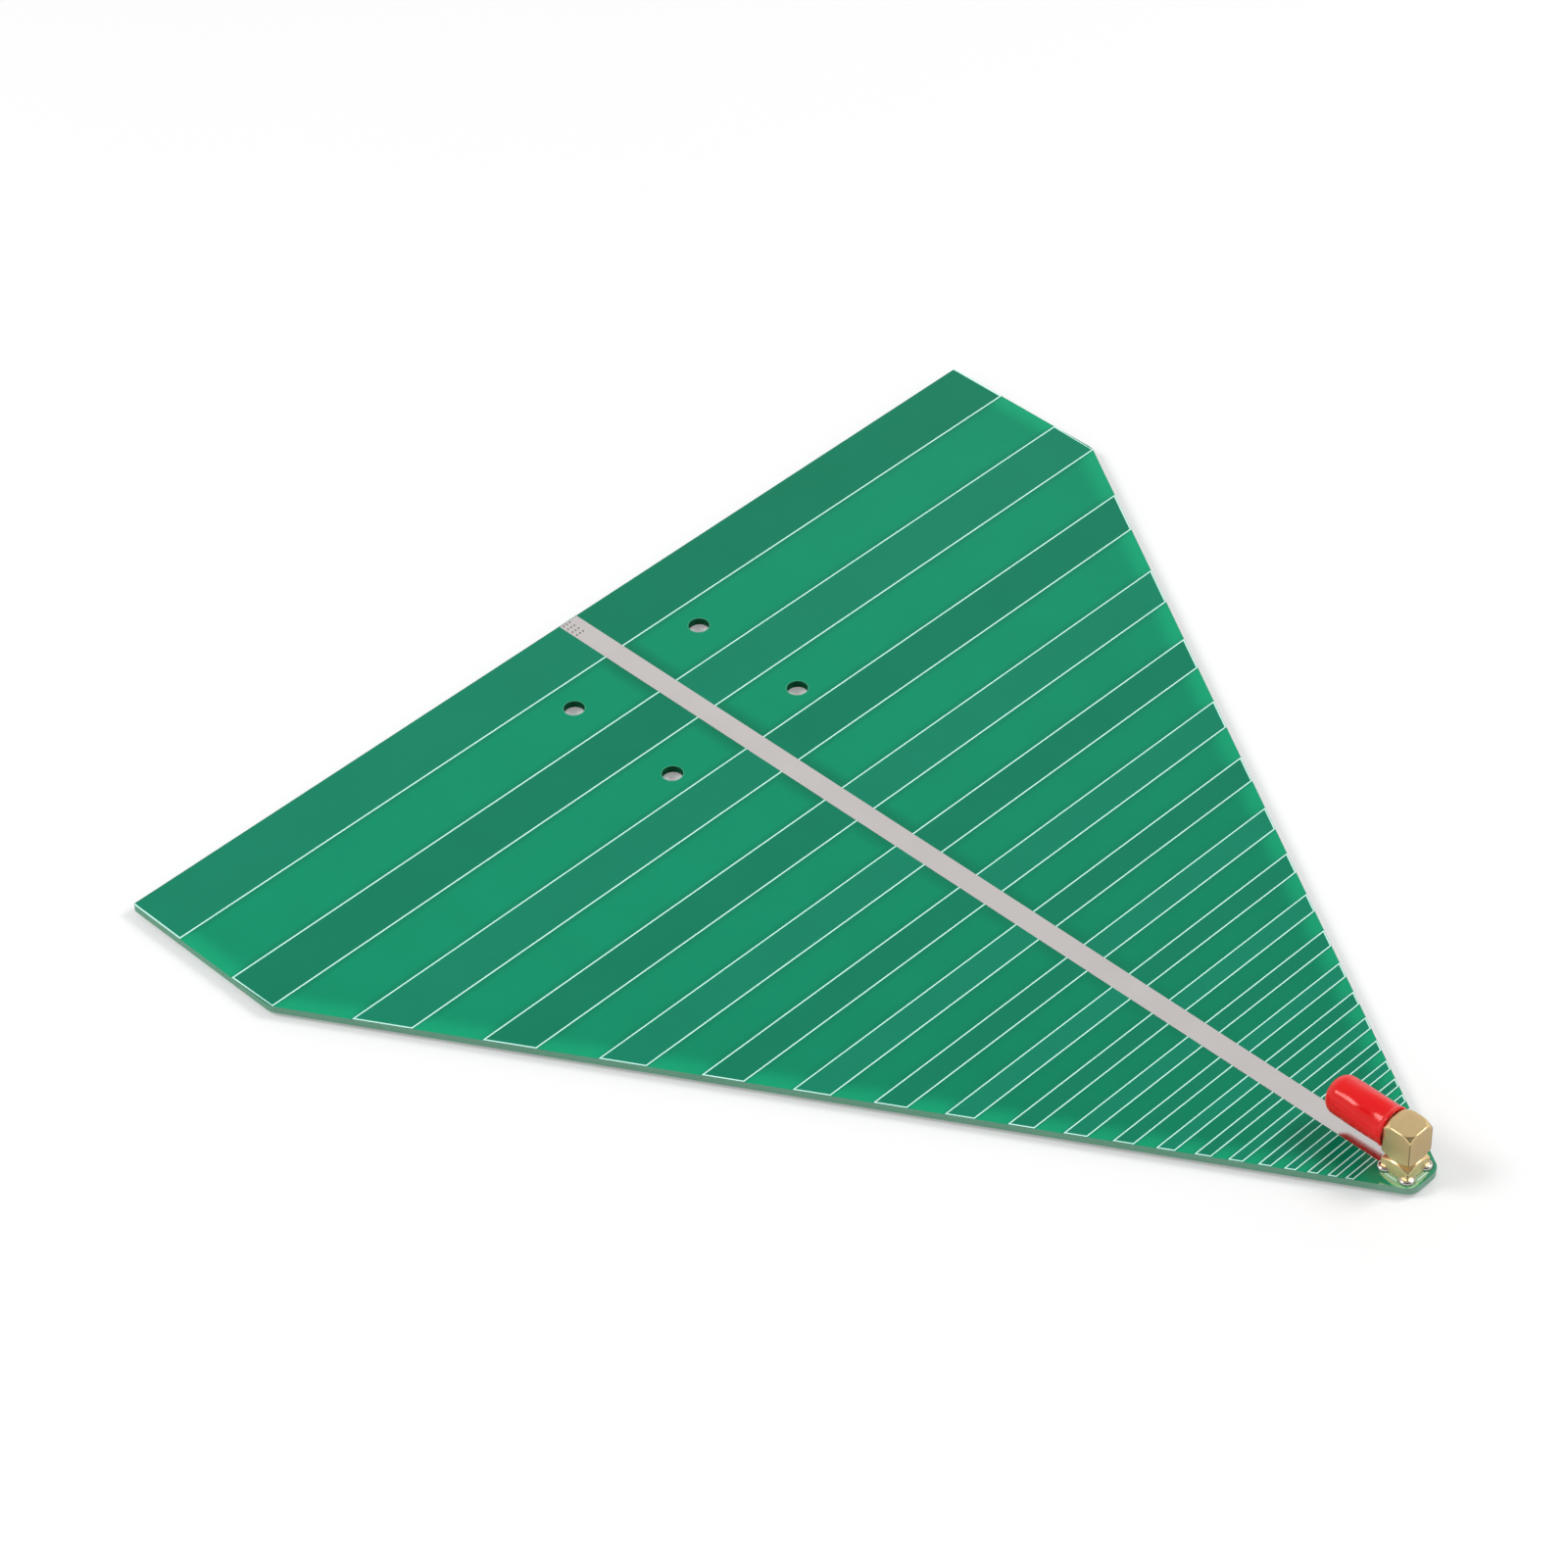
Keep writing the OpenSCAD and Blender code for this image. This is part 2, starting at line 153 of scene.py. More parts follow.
# The red cap, in millimetres, measured along its axis from the mouth
CAP_BORE_R = 3.235
CAP_R = 3.985
CAP_L = 14.2
CAP_LIP = 0.15
CAP_LIP_W = 0.5
CAP_LIP_ROLL = 0.3
CAP_LIP_RUN = 0.5
CAP_MOUTH_IN = 0.2
CAP_MOUTH_OUT = 0.04
CAP_MOUTH_BREAK = 0.1
CAP_END_R = 2.6
CAP_END_WALL = 1.2
CAP_END_SWEEP = 84
CAP_CROWN = 0.25
CAP_CROWN_DROP = 0.9
CAP_SKIN = 0.3
CAP_BARREL = 0.06
CAP_OVAL = 0.012
CAP_OVAL_TURN = 0.6
CAP_WAVES = 3
CAP_WAVE = 0.05
CAP_WAVE_TURN = 0.5
CAP_PRESS = 0.13

# How many sides the round shapes have
BODY_SIDES = 288
BARREL_SIDES = 64
THREAD_SIDES = 48
SOLDER_SIDES = 40
CAP_SIDES = 96

# Places taken from the frame, in metres
board_low, board_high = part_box("fr4_board")
tin_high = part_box("front_tinning")[1]
jack_low, jack_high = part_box("jack_body")
barrel_low, barrel_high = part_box("threaded_barrel")
cap_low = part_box("dust_cap")[0]
BOARD_TOP = board_high.z
BOARD_REAR = board_high.y
BOARD_TIP = board_low.y
BOARD_HALF_W = board_high.x
SEAT_Z = tin_high.z
BACK_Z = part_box("back_tinning")[0].z
JACK_Y = (jack_low.y + jack_high.y) / 2
AXIS_Z = (barrel_low.z + barrel_high.z) / 2
BARREL_Y = barrel_high.y - BARREL_L * MM
CAP_MOUTH_Y = cap_low.y
FLOOR_Z = cad_low.z

# The log-periodic rule in metres: each reach is measured from the apex beyond the tip
APEX_Y = BOARD_TIP - APEX_OVERHANG * MM
FIRST_REACH = BOARD_REAR - FIRST_INSET * MM - APEX_Y
LAST_REACH = (JACK_Y + tin_high.x + LAST_GAP * MM - APEX_Y) / (1 - ELEMENT_CHORD)
SHRINK = (LAST_REACH / FIRST_REACH) ** (1 / (ELEMENT_COUNT - 1))
TAPER = (BOARD_HALF_W - TIP_W / 2 * MM) / (BOARD_REAR - SHOULDER_L * MM - BOARD_TIP)
SLANT = math.sqrt(1 + TAPER * TAPER)


# Helpers for nodes

def linear(hex_colour):
    """An sRGB hex colour as the linear RGBA that a socket takes."""
    channels = [int(hex_colour[i:i + 2], 16) / 255 for i in (1, 3, 5)]
    return tuple(c / 12.92 if c <= 0.04045 else ((c + 0.055) / 1.055) ** 2.4 for c in channels) + (1.0,)


def per(size_mm):
    """Texture scale on Object coordinates that gives a feature of about this size."""
    return 1 / (size_mm * MM)


def add_node(tree, kind, inputs=(), **settings):
    """Add a node, set its options, then link or set its inputs.

    A node given as an input stands for its first output.
    """
    made = tree.nodes.new(kind)
    for option, value in settings.items():
        setattr(made, option, value)
    for key, value in inputs.items() if isinstance(inputs, dict) else enumerate(inputs):
        socket = made.inputs[key]
        if isinstance(value, bpy.types.Node):
            value = value.outputs[0]
        if isinstance(value, bpy.types.NodeSocket):
            tree.links.new(value, socket)
        else:
            socket.default_value = value
    return made


def maths(tree, operation, *inputs):
    """A sum, product or comparison of these inputs."""
    return add_node(tree, "ShaderNodeMath", inputs, operation=operation)


def vectors(tree, operation, *inputs):
    """The same for vectors."""
    return add_node(tree, "ShaderNodeVectorMath", inputs, operation=operation)


def split(tree, vector):
    """The X, Y and Z of a vector."""
    return add_node(tree, "ShaderNodeSeparateXYZ", [vector]).outputs[:]


def spread(tree, value, start=0.0, end=1.0, first=0.0, last=1.0, ease="LINEAR"):
    """Carry a value from start and end to first and last, held beyond both."""
    return add_node(tree, "ShaderNodeMapRange", {
        "Value": value, "From Min": start, "From Max": end, "To Min": first, "To Max": last},
        interpolation_type=ease)


def mix(tree, factor, first, second, blend_type="MIX"):
    """The colour between two, each a hex colour or a socket."""
    ends = [linear(end) if isinstance(end, str) else end for end in (first, second)]
    mixed = add_node(tree, "ShaderNodeMix", {"Factor": factor, "A": ends[0], "B": ends[1]},
                     data_type="RGBA", blend_type=blend_type)
    return mixed.outputs["Result"]


def noise(tree, vector, size_mm, detail=2.0):
    """Soft noise with clouds of about this size."""
    return add_node(tree, "ShaderNodeTexNoise", {"Vector": vector, "Scale": per(size_mm), "Detail": detail})


def bump(tree, height, strength, depth_mm):
    """Relief of this depth that only the light sees."""
    return add_node(tree, "ShaderNodeBump", {
        "Strength": strength, "Distance": depth_mm * MM, "Height": height})


def from_pair(tree, place, pitch_mm):
    """How far a coordinate lies beyond the nearer of two marks, one on each side of zero."""
    return maths(tree, "SUBTRACT", maths(tree, "ABSOLUTE", place), pitch_mm / 2 * MM)


def distance(tree, x, y):
    """How far away a point is that lies this far off along X and along Y."""
    offset = add_node(tree, "ShaderNodeCombineXYZ", [x, y])
    return vectors(tree, "LENGTH", offset).outputs["Value"]


def new_material(name):
    """An empty material, its node tree and its texture coordinates."""
    material = bpy.data.materials.new(name)
    material.use_nodes = True
    tree = material.node_tree
    tree.nodes.clear()
    return material, tree, add_node(tree, "ShaderNodeTexCoord").outputs


def finish_material(material, inputs):
    """Close a material with the shader that carries these inputs."""
    shader = add_node(material.node_tree, "ShaderNodeBsdfPrincipled", inputs)
    add_node(material.node_tree, "ShaderNodeOutputMaterial", [shader])
    return material


def new_tree(name, sizes):
    """A Geometry Nodes tree with a named input for each size, and its group input's sockets."""
    tree = bpy.data.node_groups.new(name, "GeometryNodeTree")
    tree.interface.new_socket("Geometry", in_out="INPUT", socket_type="NodeSocketGeometry")
    for label, value in sizes.items():
        kind = "NodeSocketInt" if isinstance(value, int) else "NodeSocketFloat"
        tree.interface.new_socket(label, in_out="INPUT", socket_type=kind)
    tree.interface.new_socket("Geometry", in_out="OUTPUT", socket_type="NodeSocketGeometry")
    return tree, add_node(tree, "NodeGroupInput").outputs


def join(tree, first, second):
    """Two geometries as one."""
    joined = add_node(tree, "GeometryNodeJoinGeometry", [first])
    tree.links.new(second, joined.inputs[0])
    return joined


def finish_tree(tree, geometry, material):
    """Close a tree: plain geometry with its material."""
    plain = add_node(tree, "GeometryNodeRealizeInstances", [geometry])
    painted = add_node(tree, "GeometryNodeSetMaterial", {"Geometry": plain})
    painted.inputs["Material"].default_value = material
    add_node(tree, "NodeGroupOutput", [painted])


def run_tree(piece, tree, sizes):
    """Give a piece the tree with these sizes, keep the plain mesh that it makes, and drop the modifier."""
    modifier = piece.modifiers.new(tree.name, "NODES")
    modifier.node_group = tree
    for item in tree.interface.items_tree:
        if item.in_out == "INPUT" and item.name in sizes:
            modifier[item.identifier] = sizes[item.name]
    evaluated = piece.evaluated_get(bpy.context.evaluated_depsgraph_get())
    made = bpy.data.meshes.new_from_object(evaluated)
    piece.modifiers.clear()
    piece.data = made
    return piece


# Helpers for meshes

def new_piece(name, bm, material, smooth_angle=None):
    """Turn a bmesh into an object at the origin, with smooth faces up to an angle."""
    bmesh.ops.recalc_face_normals(bm, faces=bm.faces)
    mesh = bpy.data.meshes.new(name)
    bm.to_mesh(mesh)
    bm.free()
    mesh.materials.append(material)
    if smooth_angle is not None:
        mesh.polygons.foreach_set("use_smooth", [True] * len(mesh.polygons))
        mesh.set_sharp_from_angle(angle=math.radians(smooth_angle))
    piece = bpy.data.objects.new(name, mesh)
    SCENE.collection.objects.link(piece)
    return piece


def along_axis(start_y):
    """Matrix from millimetres along Z to metres along the barrel's axis, from this Y on."""
    lie = Matrix.Rotation(-math.pi / 2, 4, "X")
    return Matrix.Translation((0, start_y, AXIS_Z)) @ lie @ Matrix.Scale(MM, 4)


def arc(centre, radii, start, end, steps):
    """Points on an arc of an ellipse, with angles in degrees."""
    turns = [math.radians(start + (end - start) * k / steps) for k in range(steps + 1)]
    return [(centre[0] + radii[0] * math.cos(a), centre[1] + radii[1] * math.sin(a)) for a in turns]


def blend(a, b, width):
    """The smaller of two lengths, eased where they come within a width of each other."""
    near = max(width - abs(a - b), 0) / width
    return min(a, b) - near * near * width / 4


def lathe(profile, segments, place, reshape=None):
    """Turn (radius, height) points round Z into a bmesh; points on the axis become poles.

    reshape(radius, height, angle) may move a point; place is the matrix from millimetres to the frame.
    """
    bm = bmesh.new()
    rings = []
    for radius, height in profile:
        angles = [0.0] if radius == 0 else [2 * math.pi * k / segments for k in range(segments)]
        ring = []
        for angle in angles:
            r, h = reshape(radius, height, angle) if reshape else (radius, height)
            ring.append(bm.verts.new(place @ Vector((r * math.cos(angle), r * math.sin(angle), h))))
        rings.append(ring)
    closed = profile[0][0] > 0 and profile[-1][0] > 0
    pairs = zip(rings, rings[1:] + rings[:1] if closed else rings[1:])
    for lower, upper in pairs:
        for k in range(segments):
            corners = [
                lower[k % len(lower)], lower[(k + 1) % len(lower)],
                upper[(k + 1) % len(upper)], upper[k % len(upper)]]
            bm.faces.new(list(dict.fromkeys(corners)))
    return bm


# Materials

# The green mask: how strongly and how sharply it mirrors
MASK_GREEN = "#007c59"
MASK_SHEEN = 0.14
MASK_ROUGHNESS = 0.12
RESIN_IOR = 1.5

# The film of flux that soldering left round the jack: reach and fade in millimetres
FLUX_FILM = 0.95
FLUX_IOR = 1.58
FLUX_ROUGHNESS = 0.08
FLUX_R = 6
FLUX_FADE = 3.5

# Painted glow of light through the sheet: full this far from arms and strip, in millimetres, and between these
# shares of the reach
PAINTED_GLOW_FROM_ARM = 2
PAINTED_GLOW_FROM_STRIP = 4
PAINTED_GLOW_AT_ARM = 0.3
PAINTED_GLOW_NONE = 0.15
PAINTED_GLOW_FULL = 0.78

# Painted glow along the board's cut edge: its strength, how far it runs in and how near to copper it ends, in
# millimetres
PAINTED_EDGE_GLOW = 0.45
PAINTED_EDGE_GLOW_W = 6
PAINTED_EDGE_GLOW_FROM_ARM = 0.6

# Cut sheet: faces steeper than this are walls, with a painted highlight ring round each hole's rim this wide, in
# millimetres
WALL_FACING = 0.5
WALL_ROUGHNESS = 0.6
HIGHLIT_RIM_W = 0.2

# How far the mask runs to both sides of a pad's rim, in millimetres
MASK_LAP = 0.25

# Gold on flats, which face less than the first share along the axis, and on turned parts past the second
FLAT_FACING = 0.1
TURNED_FACING = 0.3
FLAT_ROUGHNESS = 0.28
TURNED_ROUGHNESS = 0.2
STREAK_ROUGHNESS = 0.06
GOLD_METALLIC = 0.84
LATHE_RING = 0.3
WAVE_UNIT = 20

# Dust on the cap: share of clean cells, size in a cell, strength; and the part of the wall that ripples
DUST_CLEAN = 0.86
DUST_DOT = 0.05
DUST_SHADE = 0.6
RIPPLE_SEED = 5.0
RIPPLE_START = -0.5
RIPPLE_FULL = 1.5

# The floor's half size, and how much it is lifted for the camera near the part and at its far edge, in metres
FLOOR_HALF = 4.0
FLOOR_NEAR = 0.5
FLOOR_LIFT_NEAR = 0.28
FLOOR_LIFT_FAR = 0.85


def screened_relief(tree, coords):
    """The soft unevenness of a mask that was printed through a screen."""
    return bump(tree, noise(tree, coords["Object"], size_mm=1.6), strength=0.15, depth_mm=0.01)


def masked_laminate():
    """Glass-epoxy sheet under a screened green mask.

    The sheet is translucent, and that light is painted into its colour: a painted glow lightens it between the
    arms and along its cut edges, fading to painted shade where copper lies near or behind it.
    """
    material, tree, coords = new_material("glass_epoxy_under_green_mask")
    calc = partial(maths, tree)
    x, y, _ = split(tree, coords["Object"])
    across = calc("ABSOLUTE", x)

    # Which dipole a point belongs to, and how far it lies from the nearest copper; past the last there is none
    reach = calc("SUBTRACT", y, APEX_Y)
    order = calc("LOGARITHM", calc("DIVIDE", reach, FIRST_REACH), SHRINK)
    number = add_node(tree, "ShaderNodeClamp", {
        "Value": calc("FLOOR", order), "Min": 0.0, "Max": ELEMENT_COUNT - 1})
    shrunk = calc("POWER", SHRINK, number)
    rear = calc("MULTIPLY", shrunk, FIRST_REACH)
    fore = calc("MULTIPLY", rear, 1 - ELEMENT_CHORD)
    next_rear = calc("MULTIPLY", rear, SHRINK)
    past_last = calc("GREATER_THAN", number, ELEMENT_COUNT - 1.5)
    before = calc("SUBTRACT", fore, reach)
    after = calc("ADD", calc("SUBTRACT", reach, next_rear), past_last)
    beside = calc("SUBTRACT", across, STRIP_W / 2 * MM)
    clear = calc("MINIMUM", before, after)
    arm = calc("LESS_THAN", before, 0.0)

    # How far it lies from the board's edge and from a mounting hole
    side = calc("SUBTRACT", BOARD_HALF_W, across)
    along = calc("SUBTRACT", y, BOARD_TIP)
    taper_half = calc("MULTIPLY_ADD", along, TAPER, TIP_W / 2 * MM)
    taper = calc("DIVIDE", calc("SUBTRACT", taper_half, across), SLANT)
    edge = calc("MINIMUM", side, taper)
    hole = distance(tree, from_pair(tree, x, HOLE_DX), from_pair(tree, y, HOLE_DY))

    # Colour of the mask over that: a painted glow in the open sheet, fading to painted shade near copper and the
    # strip, and a painted glow along the cut edge
    wide = spread(tree, shrunk, PAINTED_GLOW_NONE, PAINTED_GLOW_FULL)
    open_sheet = spread(tree, clear, 0.0, PAINTED_GLOW_FROM_ARM * MM, first=PAINTED_GLOW_AT_ARM, ease="SMOOTHSTEP")
    off_strip = spread(tree, beside, 0.0, PAINTED_GLOW_FROM_STRIP * MM, ease="SMOOTHSTEP")
    glow = calc("MULTIPLY", calc("MULTIPLY", open_sheet, wide), off_strip)
    gap = mix(tree, glow, MASK_GREEN, "#009068")
    rim = spread(tree, edge, 0.0, PAINTED_EDGE_GLOW_W * MM, first=PAINTED_EDGE_GLOW, last=0.0, ease="SMOOTHERSTEP")
    beyond = spread(tree, clear, 0.0, PAINTED_EDGE_GLOW_FROM_ARM * MM)
    gap = mix(tree, calc("MULTIPLY", rim, beyond), gap, "#14b881")
    mask = mix(tree, arm, gap, "#067d5d")

    # Bare sheet where the saw and the drill cut it, with painted shade on the hole walls and a painted highlight
    # ring round each hole's rim
    level = calc("ABSOLUTE", split(tree, coords["Normal"])[2])
    wall = calc("LESS_THAN", level, WALL_FACING)
    near_hole = calc("LESS_THAN", hole, (HOLE_D / 2 + HIGHLIT_RIM_W) * MM)
    face = mix(tree, near_hole, mask, "#3f9d78")
    bare = mix(tree, near_hole, "#70a58b", "#0a5637")
    colour = mix(tree, wall, face, bare)

    # Slight clouding of the mask, and the film of flux
    shade = spread(tree, noise(tree, coords["Object"], size_mm=14, detail=3.0), first=0.94, last=1.06)
    from_jack = vectors(tree, "DISTANCE", coords["Object"], (0.0, JACK_Y, BOARD_TOP)).outputs["Value"]
    film = spread(tree, from_jack, FLUX_R * MM, (FLUX_R + FLUX_FADE) * MM,
                  first=FLUX_FILM, last=0.0, ease="SMOOTHSTEP")
    return finish_material(material, {
        "Base Color": mix(tree, 1.0, colour, shade, blend_type="MULTIPLY"),
        "Roughness": spread(tree, wall, first=MASK_ROUGHNESS, last=WALL_ROUGHNESS), "IOR": RESIN_IOR,
        "Specular IOR Level": MASK_SHEEN, "Coat Weight": film, "Coat Roughness": FLUX_ROUGHNESS,
        "Coat IOR": FLUX_IOR, "Normal": screened_relief(tree, coords)})


def masked_copper():
    """Copper foil under the same mask: no light comes through, so it is a deeper, even green."""
    material, tree, coords = new_material("copper_foil_under_green_mask")
    cloud = noise(tree, coords["Object"], size_mm=18, detail=3.0)
    return finish_material(material, {
        "Base Color": mix(tree, cloud, "#0a7f60", "#0c8766"), "Roughness": MASK_ROUGHNESS, "IOR": RESIN_IOR,
        "Specular IOR Level": MASK_SHEEN, "Normal": screened_relief(tree, coords)})


def levelled_tin():
    """Tin coat blown level on bare copper: a warm grey metal that mirrors what stands on it.

    The green mask runs in over the rims of the jack's pads, up to their solder.
    """
    material, tree, coords = new_material("levelled_tin_coat")
    calc = partial(maths, tree)
    cloud = noise(tree, coords["Object"], size_mm=9, detail=4.0)
    bright = mix(tree, cloud, "#dfd9d7", "#eae5e3")

    # How far a point lies from the nearest leg, and whether the mask covers it there
    x, y, _ = split(tree, coords["Object"])
    along = calc("SUBTRACT", y, JACK_Y)
    leg = distance(tree, from_pair(tree, x, LEG_PITCH), from_pair(tree, along, LEG_PITCH))
    at_rim = calc("COMPARE", leg, SOLDER_PAD_R * MM, MASK_LAP * MM)
    beside = calc("GREATER_THAN", calc("ABSOLUTE", x), STRIP_W / 2 * MM)
    before = calc("LESS_THAN", along, 0.0)
    covered = calc("MULTIPLY", at_rim, calc("MAXIMUM", beside, before))

    ripple = noise(tree, coords["Object"], size_mm=0.9)
    return finish_material(material, {
        "Base Color": mix(tree, covered, bright, MASK_GREEN), "Metallic": calc("SUBTRACT", 1.0, covered),
        "Roughness": spread(tree, cloud, first=0.08, last=0.14), "Specular IOR Level": MASK_SHEEN,
        "Coat Weight": calc("MULTIPLY", covered, FLUX_FILM), "Coat Roughness": FLUX_ROUGHNESS,
        "Coat IOR": FLUX_IOR, "Normal": bump(tree, ripple, strength=0.1, depth_mm=0.01)})


def gold_plate(name, centre, turn):
    """Gold plating on turned brass: fine rings round the lathe's axis, faint streaks along it on the flats.

    A painted dark reflection runs along the square bar's sharp corners.
    centre and turn carry the axis of turning to the texture's own Z.
    """
    material, tree, coords = new_material(name)
    turned = add_node(tree, "ShaderNodeMapping",
                      {"Vector": coords["Object"], "Location": centre, "Rotation": turn}, vector_type="TEXTURE")
    flat = vectors(tree, "MULTIPLY", turned, (1.0, 1.0, 0.0))
    rings = add_node(tree, "ShaderNodeTexWave", {"Vector": flat, "Scale": per(LATHE_RING) / WAVE_UNIT},
                     wave_type="RINGS", rings_direction="SPHERICAL")
    drawn = vectors(tree, "MULTIPLY", turned, (1.0, 1.0, 0.1))
    streaks = noise(tree, drawn, size_mm=1.4)
    gold = mix(tree, streaks, "#d8bb85", "#e1c694")

    # Painted dark reflection along the bar's corners, by the distance from the axis
    out = vectors(tree, "LENGTH", flat).outputs["Value"]
    corner_r = BAR_W / 2 * math.sqrt(2)
    skin = spread(tree, out, (corner_r - DARK_CORNER_START) * MM, (corner_r - DARK_CORNER_FULL) * MM, last=DARK_CORNER_DEPTH)

    # Flats are duller than what the lathe cut
    upright = add_node(tree, "ShaderNodeVectorRotate", {"Vector": coords["Normal"], "Rotation": turn},
                       rotation_type="EULER_XYZ", invert=True)
    level = maths(tree, "ABSOLUTE", split(tree, upright)[2])
    rough = spread(tree, level, FLAT_FACING, TURNED_FACING, first=FLAT_ROUGHNESS, last=TURNED_ROUGHNESS)
    # The gold's colour carries the painted dark reflection at the corners
    return finish_material(material, {
        "Base Color": mix(tree, skin, gold, "#3c2f10"), "Metallic": GOLD_METALLIC,
        "Roughness": maths(tree, "MULTIPLY_ADD", streaks, STREAK_ROUGHNESS, rough),
        "Normal": bump(tree, rings.outputs["Fac"], strength=0.04, depth_mm=0.004)})


def bright_solder():
    """Tin solder that froze from the melt: a bright silver skin with faint dull patches."""
    material, tree, coords = new_material("bright_tin_solder")
    patch = noise(tree, coords["Object"], size_mm=0.8, detail=3.0)
    return finish_material(material, {
        "Base Color": mix(tree, patch, "#aea7a0", "#c6bfb8"), "Metallic": 1.0,
        "Roughness": spread(tree, patch, first=0.16, last=0.28)})


def machined_fluoropolymer():
    """White fluoropolymer turned from rod: waxy, softly lit from inside, with a faint grain."""
    material, tree, coords = new_material("machined_white_fluoropolymer")
    grain = noise(tree, coords["Object"], size_mm=0.5)
    return finish_material(material, {
        "Base Color": mix(tree, grain, "#ece9e2", "#f5f3ee"), "Roughness": 0.45, "IOR": 1.35,
        "Subsurface Weight": 0.2, "Subsurface Scale": 0.3 * MM,
        "Normal": bump(tree, grain, strength=0.2, depth_mm=0.01)})


def dipped_vinyl():
    """Red vinyl dipped on a former: a glossy skin with soft ripples, a little light inside, and dust specks."""
    material, tree, coords = new_material("dip_moulded_red_vinyl")
    calc = partial(maths, tree)
    red = mix(tree, noise(tree, coords["Object"], size_mm=5), "#e61014", "#ee171a")
    cell = add_node(tree, "ShaderNodeTexVoronoi", {"Vector": coords["Object"], "Scale": per(1.6)})
    chosen = add_node(tree, "ShaderNodeSeparateColor", [cell.outputs["Color"]])
    rare = calc("GREATER_THAN", chosen.outputs["Red"], DUST_CLEAN)
    dot = calc("LESS_THAN", cell.outputs["Distance"], DUST_DOT)
    speck = calc("MULTIPLY", calc("MULTIPLY", rare, dot), DUST_SHADE)
    ripple = add_node(tree, "ShaderNodeTexNoise",
                      {"Vector": coords["Object"], "W": RIPPLE_SEED, "Scale": per(7), "Detail": 0.0},
                      noise_dimensions="4D")
    height = split(tree, coords["Object"])[2]
    upper = spread(tree, height, AXIS_Z + RIPPLE_START * MM, AXIS_Z + RIPPLE_FULL * MM)
    return finish_material(material, {
        "Base Color": mix(tree, speck, red, "#f6b8b4"), "Roughness": 0.14, "IOR": RESIN_IOR,
        "Specular IOR Level": 0.5, "Specular Tint": linear("#ffc4be"), "Subsurface Weight": 0.12,
        "Subsurface Scale": 0.4 * MM, "Normal": bump(tree, ripple, strength=upper, depth_mm=1.2)})


def printed_ink():
    """White epoxy ink printed through a screen: flat and even, a touch green where it is thin."""
    material, tree, coords = new_material("screen_printed_white_ink")
    thin = noise(tree, coords["Object"], size_mm=1.2)
    return finish_material(material, {"Base Color": mix(tree, thin, "#c6fff0", "#d6fff6"), "Roughness": 0.5})


def pale_floor():
    """Matt white studio floor, lifted for the camera so that it reads as white paper with a soft shadow."""
    material, tree, coords = new_material("matt_white_floor")
    grain = noise(tree, coords["Object"], size_mm=200)
    away = vectors(tree, "LENGTH", coords["Object"]).outputs["Value"]
    white = spread(tree, away, FLOOR_NEAR, FLOOR_HALF, first=FLOOR_LIFT_NEAR, last=FLOOR_LIFT_FAR)
    path = add_node(tree, "ShaderNodeLightPath")
    return finish_material(material, {
        "Base Color": mix(tree, grain, "#dbdbdb", "#dddddd"), "Roughness": 0.8, "Specular IOR Level": 0.1,
        "Emission Color": linear("#ffffff"),
        "Emission Strength": spread(tree, path.outputs["Is Camera Ray"], last=white)})


LAMINATE = masked_laminate()
COPPER = masked_copper()
TIN = levelled_tin()
JACK_GOLD = gold_plate("gold_plate_on_turned_brass", (0.0, JACK_Y, 0.0), (0.0, 0.0, 0.0))
BARREL_GOLD = gold_plate("gold_plate_on_barrel", (0.0, 0.0, AXIS_Z), (math.pi / 2, 0.0, 0.0))
SOLDER = bright_solder()
INSULATOR = machined_fluoropolymer()
VINYL = dipped_vinyl()
INK = printed_ink()

NODE_MATERIALS = {
    "fr4_board": LAMINATE,
    "front_copper": COPPER,
    "back_copper": COPPER,
    "front_tinning": TIN,
    "back_tinning": TIN,
    "feed_vias": TIN,
    "barrel_insulator": INSULATOR,
    "pin_insulator": INSULATOR,
    "centre_contact": BARREL_GOLD,
    "tail_pin": JACK_GOLD,
    "pin_solder": SOLDER,
}


# Pieces

